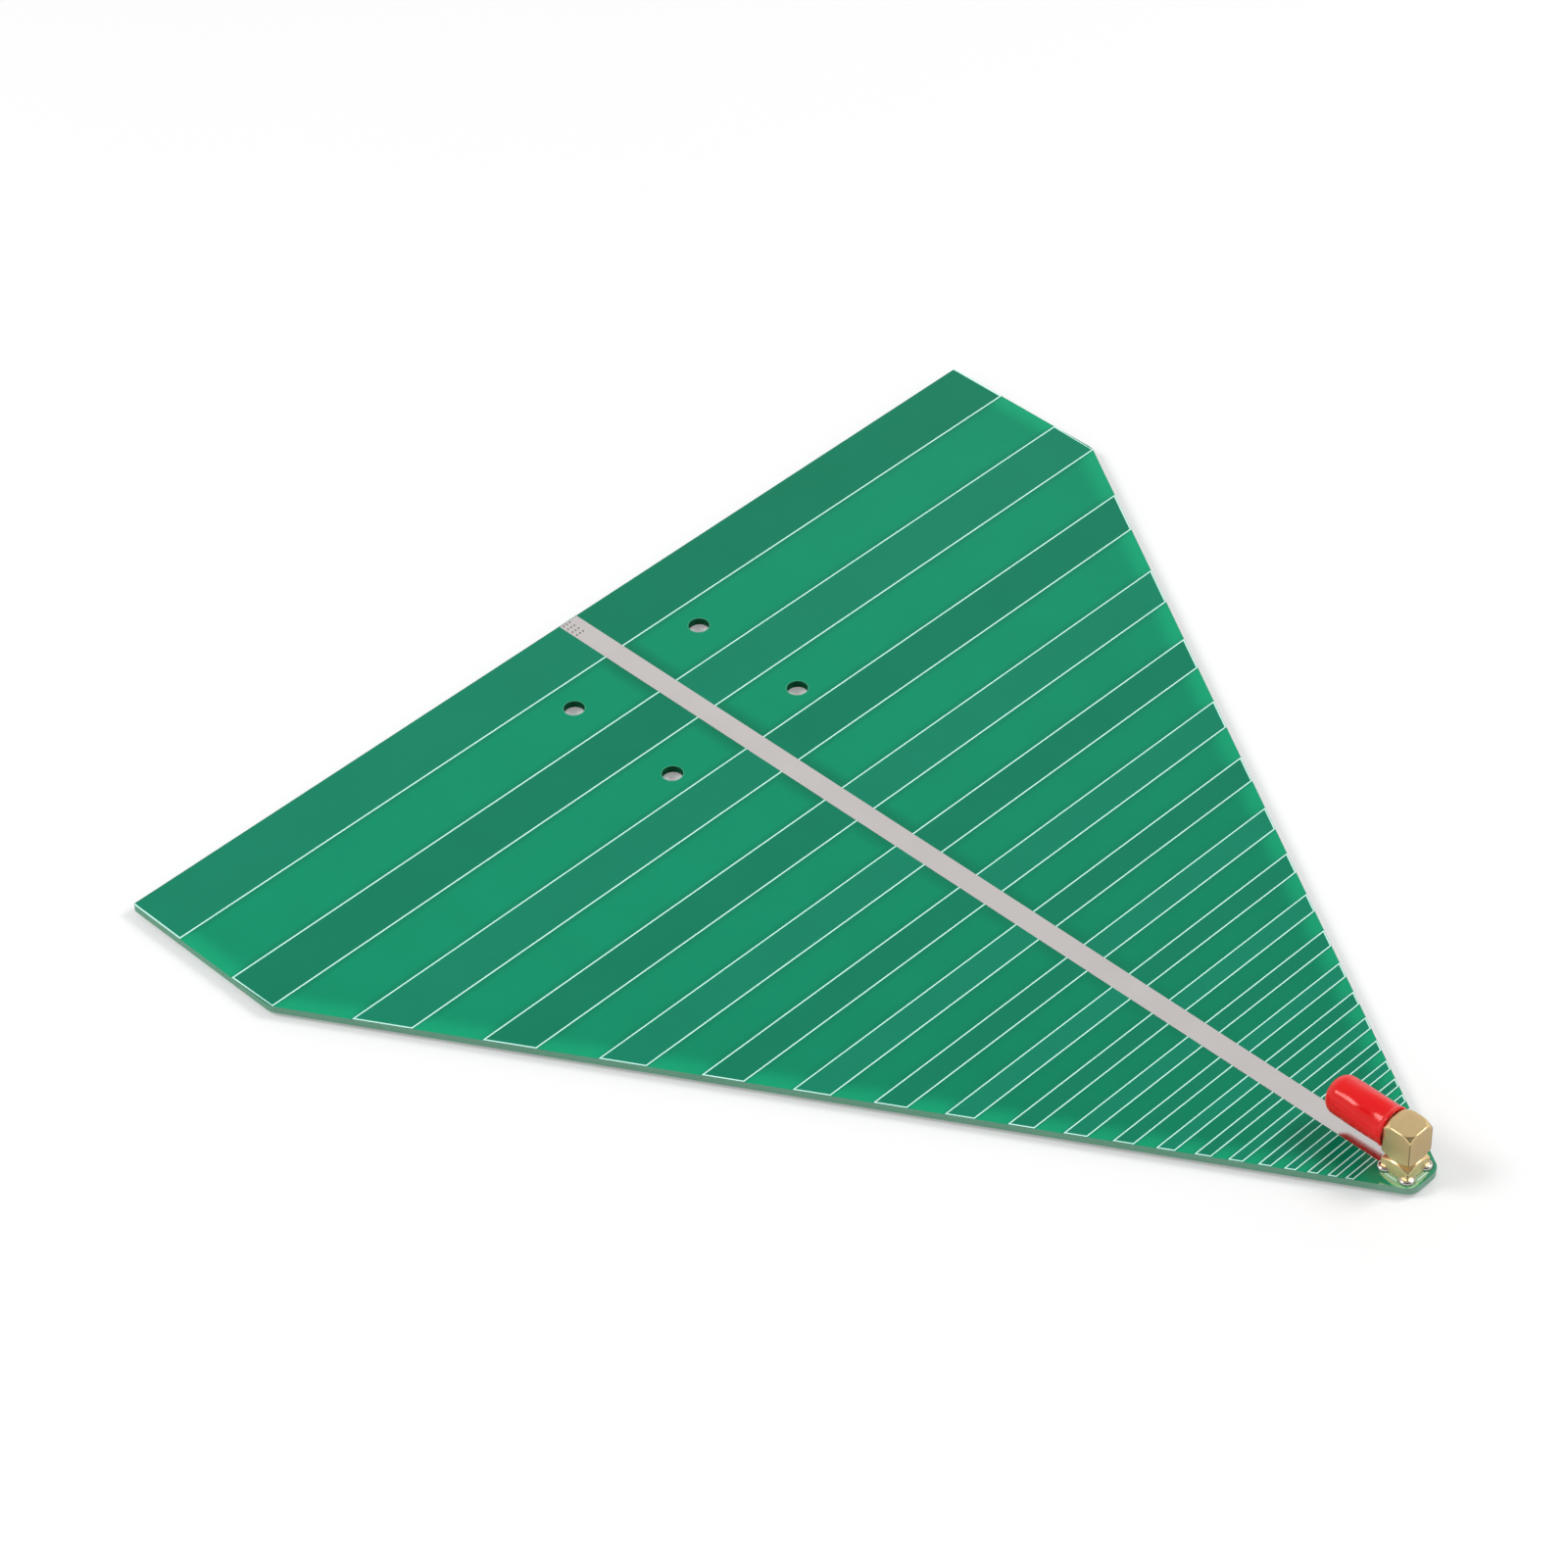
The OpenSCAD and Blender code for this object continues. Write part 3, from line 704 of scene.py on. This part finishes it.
def printed_lines():
    """White outline round every arm on the front face, and the four lines of the jack's footprint."""
    bm = bmesh.new()
    for quarter in range(4):
        turn = Matrix.Translation((0, JACK_Y, BOARD_TOP)) @ Matrix.Rotation(quarter * math.pi / 2, 4, "Z")
        bar = Matrix.Diagonal((INK_W * MM, 2 * FOOTPRINT_RUN * MM, INK_H * MM, 1))
        lift = Matrix.Translation((FOOTPRINT_HALF * MM, 0, INK_H / 2 * MM))
        bmesh.ops.create_cube(bm, size=1, matrix=turn @ lift @ bar)
    piece = new_piece("printed_lines", bm, INK)

    sizes = {
        "Dipoles": ELEMENT_COUNT, "First Reach": FIRST_REACH, "Shrink": SHRINK, "Chord": ELEMENT_CHORD,
        "Apex": APEX_Y, "Tip": BOARD_TIP, "Tip Half Width": TIP_W / 2 * MM, "Taper": TAPER,
        "Board Half Width": BOARD_HALF_W, "Strip Half Width": STRIP_W / 2 * MM,
        "Rear": BOARD_REAR - EDGE_MARGIN * MM, "Margin": EDGE_MARGIN * MM, "Line Width": INK_W * MM,
        "Last Line Width": INK_TIP_W * MM, "Line Height": INK_H * MM, "Face": BOARD_TOP}
    tree, size = new_tree("arm_outlines", sizes)
    calc = partial(maths, tree)

    # A ladder of quads, two points wide: four rungs make one arm's outline, two arms a dipole
    rungs = calc("MULTIPLY", size["Dipoles"], 2.0 * ARM_RUNGS)
    ladder = add_node(tree, "GeometryNodeMeshGrid", {"Vertices X": rungs, "Vertices Y": 2})
    index = add_node(tree, "GeometryNodeInputIndex")
    rung = calc("FLOOR", calc("DIVIDE", index, 2.0))
    outer = calc("MODULO", index, 2.0)
    corner = calc("MODULO", rung, ARM_RUNGS)
    arm = calc("FLOOR", calc("DIVIDE", rung, ARM_RUNGS))
    dipole = calc("FLOOR", calc("DIVIDE", arm, 2.0))
    left = calc("MODULO", arm, 2.0)
    sign = calc("MULTIPLY_ADD", left, -2.0, 1.0)
    fore = calc("GREATER_THAN", corner, 1.5)
    from_tip = calc("ABSOLUTE", calc("SUBTRACT", corner, 1.5))
    at_tip = calc("LESS_THAN", from_tip, 1.0)

    # Along the board: half the line lies on each side of the copper's edge; the first dipole ends at the border
    shrunk = calc("POWER", size["Shrink"], dipole)
    rear = calc("MULTIPLY", shrunk, size["First Reach"])
    depth = calc("MULTIPLY", rear, size["Chord"])
    copper = calc("SUBTRACT", rear, calc("MULTIPLY", depth, fore))
    copper = calc("ADD", copper, size["Apex"])
    finer = calc("SUBTRACT", size["Line Width"], size["Last Line Width"])
    width = calc("MULTIPLY_ADD", finer, shrunk, size["Last Line Width"])
    step = calc("MULTIPLY", calc("SUBTRACT", outer, 0.5), width)
    way = calc("MULTIPLY_ADD", fore, -2.0, 1.0)
    y = calc("MULTIPLY_ADD", step, way, copper)
    first = calc("LESS_THAN", calc("ADD", dipole, fore), 0.5)
    y = add_node(tree, "GeometryNodeSwitch", [first, y, size["Rear"]], input_type="FLOAT")

    # Across the board: the strip's edge, or the margin from the board's edge
    margin = calc("SUBTRACT", size["Margin"], step)
    straight = calc("SUBTRACT", size["Board Half Width"], margin)
    along = calc("SUBTRACT", y, size["Tip"])
    taper = calc("MULTIPLY_ADD", along, size["Taper"], size["Tip Half Width"])
    slant = calc("SQRT", calc("MULTIPLY_ADD", size["Taper"], size["Taper"], 1.0))
    slanted = calc("SUBTRACT", taper, calc("MULTIPLY", margin, slant))
    tip = calc("MINIMUM", straight, slanted)
    span = calc("SUBTRACT", tip, size["Strip Half Width"])
    x = calc("MULTIPLY_ADD", span, at_tip, size["Strip Half Width"])
    point = add_node(tree, "ShaderNodeCombineXYZ", [calc("MULTIPLY", x, sign), y, size["Face"]])
    placed = add_node(tree, "GeometryNodeSetPosition", {"Geometry": ladder, "Position": point})

    # Faces: every fourth one would join two arms, the first dipole has no line at the rear,
    # and the left arms are mirrored
    mirrored = calc("MODULO", calc("FLOOR", calc("DIVIDE", index, ARM_RUNGS)), 2.0)
    turned = add_node(tree, "GeometryNodeFlipFaces", [placed, mirrored])
    part = calc("MODULO", index, ARM_RUNGS)
    joining = calc("GREATER_THAN", part, ARM_RUNGS - 1.5)
    early = calc("LESS_THAN", index, 2 * ARM_RUNGS - 0.5)
    at_rear = calc("LESS_THAN", part, 0.5)
    dropped = calc("MAXIMUM", joining, calc("MULTIPLY", early, at_rear))
    flat = add_node(tree, "GeometryNodeDeleteGeometry", [turned, dropped], domain="FACE")
    rise = add_node(tree, "ShaderNodeCombineXYZ", {"Z": size["Line Height"]})
    raised = add_node(tree, "GeometryNodeExtrudeMesh",
                      {"Mesh": flat, "Offset": rise, "Offset Scale": 1.0, "Individual": False})
    under = add_node(tree, "GeometryNodeFlipFaces", [flat])
    closed = join(tree, raised, under.outputs[0])
    merged = add_node(tree, "GeometryNodeMergeByDistance", {"Geometry": closed, "Distance": INK_MERGE * MM})
    finish_tree(tree, join(tree, merged, size["Geometry"]), INK)
    return run_tree(piece, tree, sizes)


def turned_body():
    """The jack's square bar as the lathe leaves it: chamfered top, groove and base, all with soft edges."""
    half = BAR_W / 2
    groove_slope = math.tan(math.radians(GROOVE_ANGLE))
    top_slope = math.tan(math.radians(TOP_ANGLE))

    def bar_radius(angle):
        """Distance from the axis to the square bar's side in this direction."""
        sides = [half / max(abs(part), 1e-6) for part in (math.cos(angle), math.sin(angle))]
        return blend(*sides, CORNER_EDGE)

    def turned_radius(height):
        """Radius that the lathe left at this height."""
        groove = GROOVE_R + max(abs(height - GROOVE_H) - GROOVE_FLAT / 2, 0) / groove_slope
        return min(groove, TOP_FLAT_R + (BAR_H - height) / top_slope)

    def shape(radius, height, angle):
        """Points of a plain lathed tube moved onto the body; those on the axis stay."""
        if radius == 0:
            return 0, height
        rounding = max(height - BAR_H + TOP_EDGE, 0)
        inset = TOP_EDGE - math.sqrt(TOP_EDGE * TOP_EDGE - rounding * rounding)
        return radius * (blend(bar_radius(angle), turned_radius(height), TURNED_EDGE) - inset), height

    groove_reach = (half * math.sqrt(2) - GROOVE_R) * groove_slope + CUT_ROOM
    top_reach = (half * math.sqrt(2) - TOP_FLAT_R) * top_slope + CUT_ROOM
    fine = [GROOVE_H + groove_reach * (k / GROOVE_STEPS - 1) for k in range(2 * GROOVE_STEPS + 1)]
    fine += [BAR_H - TOP_EDGE - (top_reach - TOP_EDGE) * (1 - k / TOP_STEPS) for k in range(TOP_STEPS + 1)]
    quarter = math.pi / 2
    fine += [BAR_H - TOP_EDGE * (1 - math.sin(k * quarter / EDGE_STEPS)) for k in range(1, EDGE_STEPS + 1)]
    levels = [0, BASE_RING * fine[0]] + fine
    profile = [(0, 0)] + [(1, level) for level in levels] + [(DISC_RING, BAR_H), (0, BAR_H)]
    seat = Matrix.Translation((0, JACK_Y, SEAT_Z)) @ Matrix.Scale(MM, 4)
    bm = lathe(profile, BODY_SIDES, seat, shape)
    leg_h = LEG_REACH + SEAT_Z / MM
    leg = Matrix.Diagonal((LEG_W, LEG_W, leg_h, 1))
    for x in (-1, 1):
        for y in (-1, 1):
            place = Matrix.Translation((x * (half - LEG_W / 2), y * (half - LEG_W / 2), -leg_h / 2))
            bmesh.ops.create_cube(bm, size=1, matrix=seat @ place @ leg)
    return new_piece("turned_jack_body", bm, JACK_GOLD, smooth_angle=50)


def threaded_barrel():
    """The barrel turned to the thread's root, and the ridge of the thread wound round it."""
    root_r = THREAD_D / 2 - THREAD_DEPTH
    relief_r = THREAD_D / 2 - BARREL_RELIEF_DEPTH
    mouth_floor = BARREL_L - BARREL_MOUTH_DEPTH
    bm = lathe([
        (BARREL_BORE_D / 2, -BARREL_SPIGOT_L),
        (BARREL_SPIGOT_D / 2, -BARREL_SPIGOT_L),
        (BARREL_SPIGOT_D / 2, 0),
        (relief_r, 0),
        (relief_r, BARREL_RELIEF_L),
        (root_r, BARREL_RELIEF_L),
        (root_r, BARREL_L - BARREL_END_BREAK),
        (root_r - BARREL_END_BREAK, BARREL_L),
        (BARREL_MOUTH_D / 2 + BARREL_MOUTH_BREAK, BARREL_L),
        (BARREL_MOUTH_D / 2, BARREL_L - BARREL_MOUTH_BREAK),
        (BARREL_MOUTH_D / 2, mouth_floor),
        (BARREL_BORE_D / 2, mouth_floor)], BARREL_SIDES, along_axis(BARREL_Y))
    piece = new_piece("threaded_jack_barrel", bm, BARREL_GOLD, smooth_angle=30)

    start = BARREL_RELIEF_L + BARREL_END_CHAMFER
    length = BARREL_L - BARREL_END_CHAMFER - start
    sizes = {
        "Root Radius": root_r * MM, "Depth": THREAD_DEPTH * MM, "Pitch": THREAD_PITCH * MM,
        "Turns": length / THREAD_PITCH, "Start": BARREL_Y + start * MM, "Axis Height": AXIS_Z}
    tree, size = new_tree("thread_ridge", sizes)
    helix = add_node(tree, "GeometryNodeCurveSpiral", {
        "Resolution": THREAD_SIDES, "Rotations": size["Turns"], "Start Radius": size["Root Radius"],
        "End Radius": size["Root Radius"], "Height": maths(tree, "MULTIPLY", size["Pitch"], size["Turns"])})
    upright = add_node(tree, "GeometryNodeSetCurveNormal", [helix], mode="Z_UP")
    section = add_node(tree, "GeometryNodeCurvePrimitiveQuadrilateral", {
        "Bottom Width": maths(tree, "MULTIPLY", size["Pitch"], THREAD_FOOT),
        "Top Width": maths(tree, "MULTIPLY", size["Pitch"], THREAD_CREST),
        "Height": size["Depth"], "Offset": 0.0}, mode="TRAPEZOID")
    ridge = add_node(tree, "GeometryNodeCurveToMesh",
                     {"Curve": upright, "Profile Curve": section, "Fill Caps": True})
    move = add_node(tree, "ShaderNodeCombineXYZ", {"Y": size["Start"], "Z": size["Axis Height"]})
    laid = add_node(tree, "GeometryNodeTransform",
                    {"Geometry": ridge, "Translation": move, "Rotation": (-math.pi / 2, 0.0, 0.0)})
    finish_tree(tree, join(tree, laid, size["Geometry"]), BARREL_GOLD)
    return run_tree(piece, tree, sizes)


def solder_joints():
    """A frozen drop of solder round each leg, above and below the board, each a little different."""
    tail_radii = (SOLDER_PAD_R - SOLDER_TAIL_R, SOLDER_TAIL_H)
    tail = arc((SOLDER_PAD_R, -SOLDER_TAIL_H), tail_radii, 180, 90, steps=8)
    drop = arc((SOLDER_TOP_R, 0), (SOLDER_PAD_R - SOLDER_TOP_R, SOLDER_TOP_H), 0, 90, steps=10)
    below = [(r, BACK_Z / MM + h) for r, h in tail]
    above = [(r, SEAT_Z / MM + h) for r, h in drop]
    profile = [(0, below[0][1])] + below + [(SOLDER_HOLE_R, BACK_Z / MM), (SOLDER_HOLE_R, SEAT_Z / MM)]
    profile += above + [(0, above[-1][1])]
    bm = lathe(profile, SOLDER_SIDES, Matrix.Scale(MM, 4))
    piece = new_piece("leg_solder_drops", bm, SOLDER, smooth_angle=60)

    sizes = {
        "Pitch": LEG_PITCH * MM, "Jack": JACK_Y, "Lump": SOLDER_LUMP * MM,
        "Lump Size": per(SOLDER_LUMP_SIZE), "Seed": SOLDER_SEED}
    tree, size = new_tree("drops_at_legs", sizes)
    corners = add_node(tree, "GeometryNodeMeshGrid",
                       {"Size X": size["Pitch"], "Size Y": size["Pitch"], "Vertices X": 2, "Vertices Y": 2})
    shift = add_node(tree, "ShaderNodeCombineXYZ", {"Y": size["Jack"]})
    legs = add_node(tree, "GeometryNodeTransform", {"Geometry": corners, "Translation": shift})
    drops = add_node(tree, "GeometryNodeInstanceOnPoints", {"Points": legs, "Instance": size["Geometry"]})
    plain = add_node(tree, "GeometryNodeRealizeInstances", [drops])
    lumps = add_node(tree, "ShaderNodeTexNoise",
                     {"Scale": size["Lump Size"], "W": size["Seed"], "Detail": 1.0}, noise_dimensions="4D")
    wander = vectors(tree, "SUBTRACT", lumps.outputs["Color"], (0.5, 0.5, 0.5))
    level = vectors(tree, "MULTIPLY", wander, (1.0, 1.0, SOLDER_LUMP_RISE))
    push = add_node(tree, "ShaderNodeVectorMath", {0: level, "Scale": size["Lump"]}, operation="SCALE")
    lumpy = add_node(tree, "GeometryNodeSetPosition", {"Geometry": plain, "Offset": push})
    finish_tree(tree, lumpy, SOLDER)
    return run_tree(piece, tree, sizes)


def dust_cap():
    """The soft cap: a rolled and slightly wavy lip, a faintly barrelled wall and a round crowned end."""
    inner_r = CAP_END_R - (CAP_R - CAP_BORE_R)
    wall_start = CAP_LIP_W + CAP_LIP_RUN
    wall_end = CAP_L - CAP_CROWN - CAP_END_R
    lip_r = CAP_LIP_W / 2
    lip = arc((CAP_R + CAP_LIP - CAP_LIP_ROLL, lip_r), (CAP_LIP_ROLL, lip_r), -90, 60, steps=10)
    wall = [(CAP_R, wall_start + (wall_end - wall_start) * k / 8) for k in range(8)]
    end = arc((CAP_R - CAP_END_R, wall_end), (CAP_END_R, CAP_END_R), 0, CAP_END_SWEEP, steps=14)
    crown = [(end[-1][0] * k / 4, CAP_L - CAP_CROWN * (k / 4) ** 2 * CAP_CROWN_DROP) for k in (3, 2, 1, 0)]
    floor = CAP_L - CAP_END_WALL
    inside = [(0, floor)] + arc((CAP_BORE_R - inner_r, floor - inner_r), (inner_r, inner_r), 90, 0, steps=6)
    mouth = [(CAP_BORE_R, CAP_MOUTH_IN), (CAP_BORE_R + CAP_MOUTH_BREAK, CAP_MOUTH_OUT)]

    def soften(radius, height, angle):
        """Swell the wall, make the section a little oval, and press the wavy mouth against the jack."""
        along = min(max((height - CAP_LIP_W) / (wall_end - CAP_LIP_W), 0), 1)
        outside = radius > CAP_BORE_R + CAP_SKIN
        swell = CAP_BARREL * math.sin(math.pi * along) if outside else 0
        oval = CAP_OVAL * math.cos(2 * angle + CAP_OVAL_TURN) * along if outside else 0
        near_mouth = max(0, 1 - height / (2 * CAP_LIP_W))
        wave = CAP_WAVE * math.sin(CAP_WAVES * angle + CAP_WAVE_TURN)
        return radius + swell + oval, height + (wave - CAP_PRESS) * near_mouth

    bm = lathe(inside + mouth + lip + wall + end + crown, CAP_SIDES, along_axis(CAP_MOUTH_Y), soften)
    return new_piece("red_dust_cap", bm, VINYL, smooth_angle=60)


def dress(piece, body, slot, *nodes):
    """Seat a finished piece on its body and hide the nodes that it stands for; slot is not used."""
    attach(piece, body)
    if nodes:
        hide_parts(*nodes)


for node_name, node_material in NODE_MATERIALS.items():
    node_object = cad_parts[node_name]
    if not node_object.material_slots:
        node_object.data.materials.append(node_material)
    for held in node_object.material_slots:
        held.material = node_material

dress(printed_lines(), "antenna", "white_ink")
dress(turned_body(), "antenna", "gold_plate", "jack_body")
dress(threaded_barrel(), "antenna", "gold_plate", "threaded_barrel")
dress(solder_joints(), "antenna", "solder", "leg_solder")
dress(dust_cap(), "cap", "red_vinyl", "dust_cap")


# Floor, light and camera

# Place and aim in metres, roll in degrees, lens and sensor in millimetres
CAMERA_PLACE = Vector((-494.0, -552.4, 653.2)) * MM
CAMERA_AIM = Vector((-4.6, -32.6, 1.6)) * MM
CAMERA_ROLL = -2.443
CAMERA_LENS = 112.5
CAMERA_SENSOR = 36

# Height above the horizon, as the sine of its angle, and colour of the walls there
LIT_SKY = [(0.42, "#e6e6e6"), (0.67, "#cccccc"), (0.92, "#7c7c7c")]
LIT_STRENGTH = 0.85
MIRRORED_SKY = [(0.1, "#ffffff"), (0.22, "#d9d9d9"), (0.52, "#dddddd"), (0.64, "#bebebe"), (0.8, "#b4b4b4")]
MIRRORED_STRENGTH = 1.45

# The same above the camera, where there is a dark gap between the softboxes, and how far round it reaches
GAP_SKY = [
    (0.1, "#ffffff"), (0.22, "#d9d9d9"), (0.56, "#dddddd"),
    (0.65, "#101010"), (0.91, "#101010"), (0.98, "#b4b4b4")]
GAP_START = 0.15
GAP_FULL = 0.35

# The softboxes: directions from the part, distance and side in metres, power in watts
SOFTBOXES = {"right softbox": (0.55, -0.41, 0.72), "left softbox": (-0.55, 0.41, 0.72)}
SOFTBOX_AWAY = 1.5
SOFTBOX_SIDE = 0.52
SOFTBOX_WATTS = 9.3


def studio_floor():
    """A wide pale floor under the lowest point of the part."""
    bm = bmesh.new()
    bmesh.ops.create_grid(bm, x_segments=1, y_segments=1, size=FLOOR_HALF,
                          matrix=Matrix.Translation((0, 0, FLOOR_Z)))
    floor = new_piece("studio_floor", bm, pale_floor())


def sky(tree, height, stops, strength):
    """Walls all round, with these colours from the floor to the ceiling."""
    ramp = add_node(tree, "ShaderNodeValToRGB", [height])
    stop = ramp.color_ramp.elements
    stop[0].position, stop[1].position = stops[0][0], stops[-1][0]
    for position, _ in stops[1:-1]:
        stop.new(position)
    for element, (_, colour) in zip(stop, stops):
        element.color = linear(colour)
    return add_node(tree, "ShaderNodeBackground", [ramp, strength])


def studio_sky():
    """The walls as they light the part, as it mirrors them with a dark gap overhead, and plain white behind."""
    world = bpy.data.worlds.new("pale studio")
    world.use_nodes = True
    tree = world.node_tree
    tree.nodes.clear()
    around = add_node(tree, "ShaderNodeTexCoord").outputs["Generated"]
    height = split(tree, around)[2]
    toward = CAMERA_PLACE.xy.normalized().to_3d()
    facing = vectors(tree, "DOT_PRODUCT", around, toward).outputs["Value"]
    path = add_node(tree, "ShaderNodeLightPath")
    mirrored = add_node(tree, "ShaderNodeMixShader", [
        spread(tree, facing, GAP_START, GAP_FULL),
        sky(tree, height, MIRRORED_SKY, MIRRORED_STRENGTH), sky(tree, height, GAP_SKY, MIRRORED_STRENGTH)])
    light = add_node(tree, "ShaderNodeMixShader", [
        path.outputs["Is Glossy Ray"], sky(tree, height, LIT_SKY, LIT_STRENGTH), mirrored])
    white = add_node(tree, "ShaderNodeBackground", [linear("#ffffff"), 1.0])
    seen = add_node(tree, "ShaderNodeMixShader", [path.outputs["Is Camera Ray"], light, white])
    add_node(tree, "ShaderNodeOutputWorld", [seen])
    SCENE.world = world


def softbox(name, toward):
    """A square soft light in this direction from the part, turned towards it."""
    lamp = bpy.data.lights.new(name, "AREA")
    lamp.shape = "RECTANGLE"
    lamp.size = SOFTBOX_SIDE
    lamp.size_y = SOFTBOX_SIDE
    lamp.energy = SOFTBOX_WATTS
    holder = bpy.data.objects.new(name, lamp)
    direction = Vector(toward).normalized()
    turn = (-direction).to_track_quat("-Z", "Y").to_matrix().to_4x4()
    holder.matrix_world = Matrix.Translation(CAMERA_AIM + direction * SOFTBOX_AWAY) @ turn
    SCENE.collection.objects.link(holder)


def photo_camera():
    """The camera at the photograph's viewing angle."""
    data = bpy.data.cameras.new("camera")
    data.lens = CAMERA_LENS
    data.sensor_width = CAMERA_SENSOR
    camera = bpy.data.objects.new("camera", data)
    turn = (CAMERA_AIM - CAMERA_PLACE).to_track_quat("-Z", "Y").to_matrix().to_4x4()
    roll = Matrix.Rotation(math.radians(CAMERA_ROLL), 4, "Z")
    camera.matrix_world = Matrix.Translation(CAMERA_PLACE) @ turn @ roll
    SCENE.collection.objects.link(camera)
    SCENE.camera = camera


studio_floor()
studio_sky()
for softbox_name, softbox_direction in SOFTBOXES.items():
    softbox(softbox_name, softbox_direction)
photo_camera()
SCENE.view_settings.view_transform = "Standard"
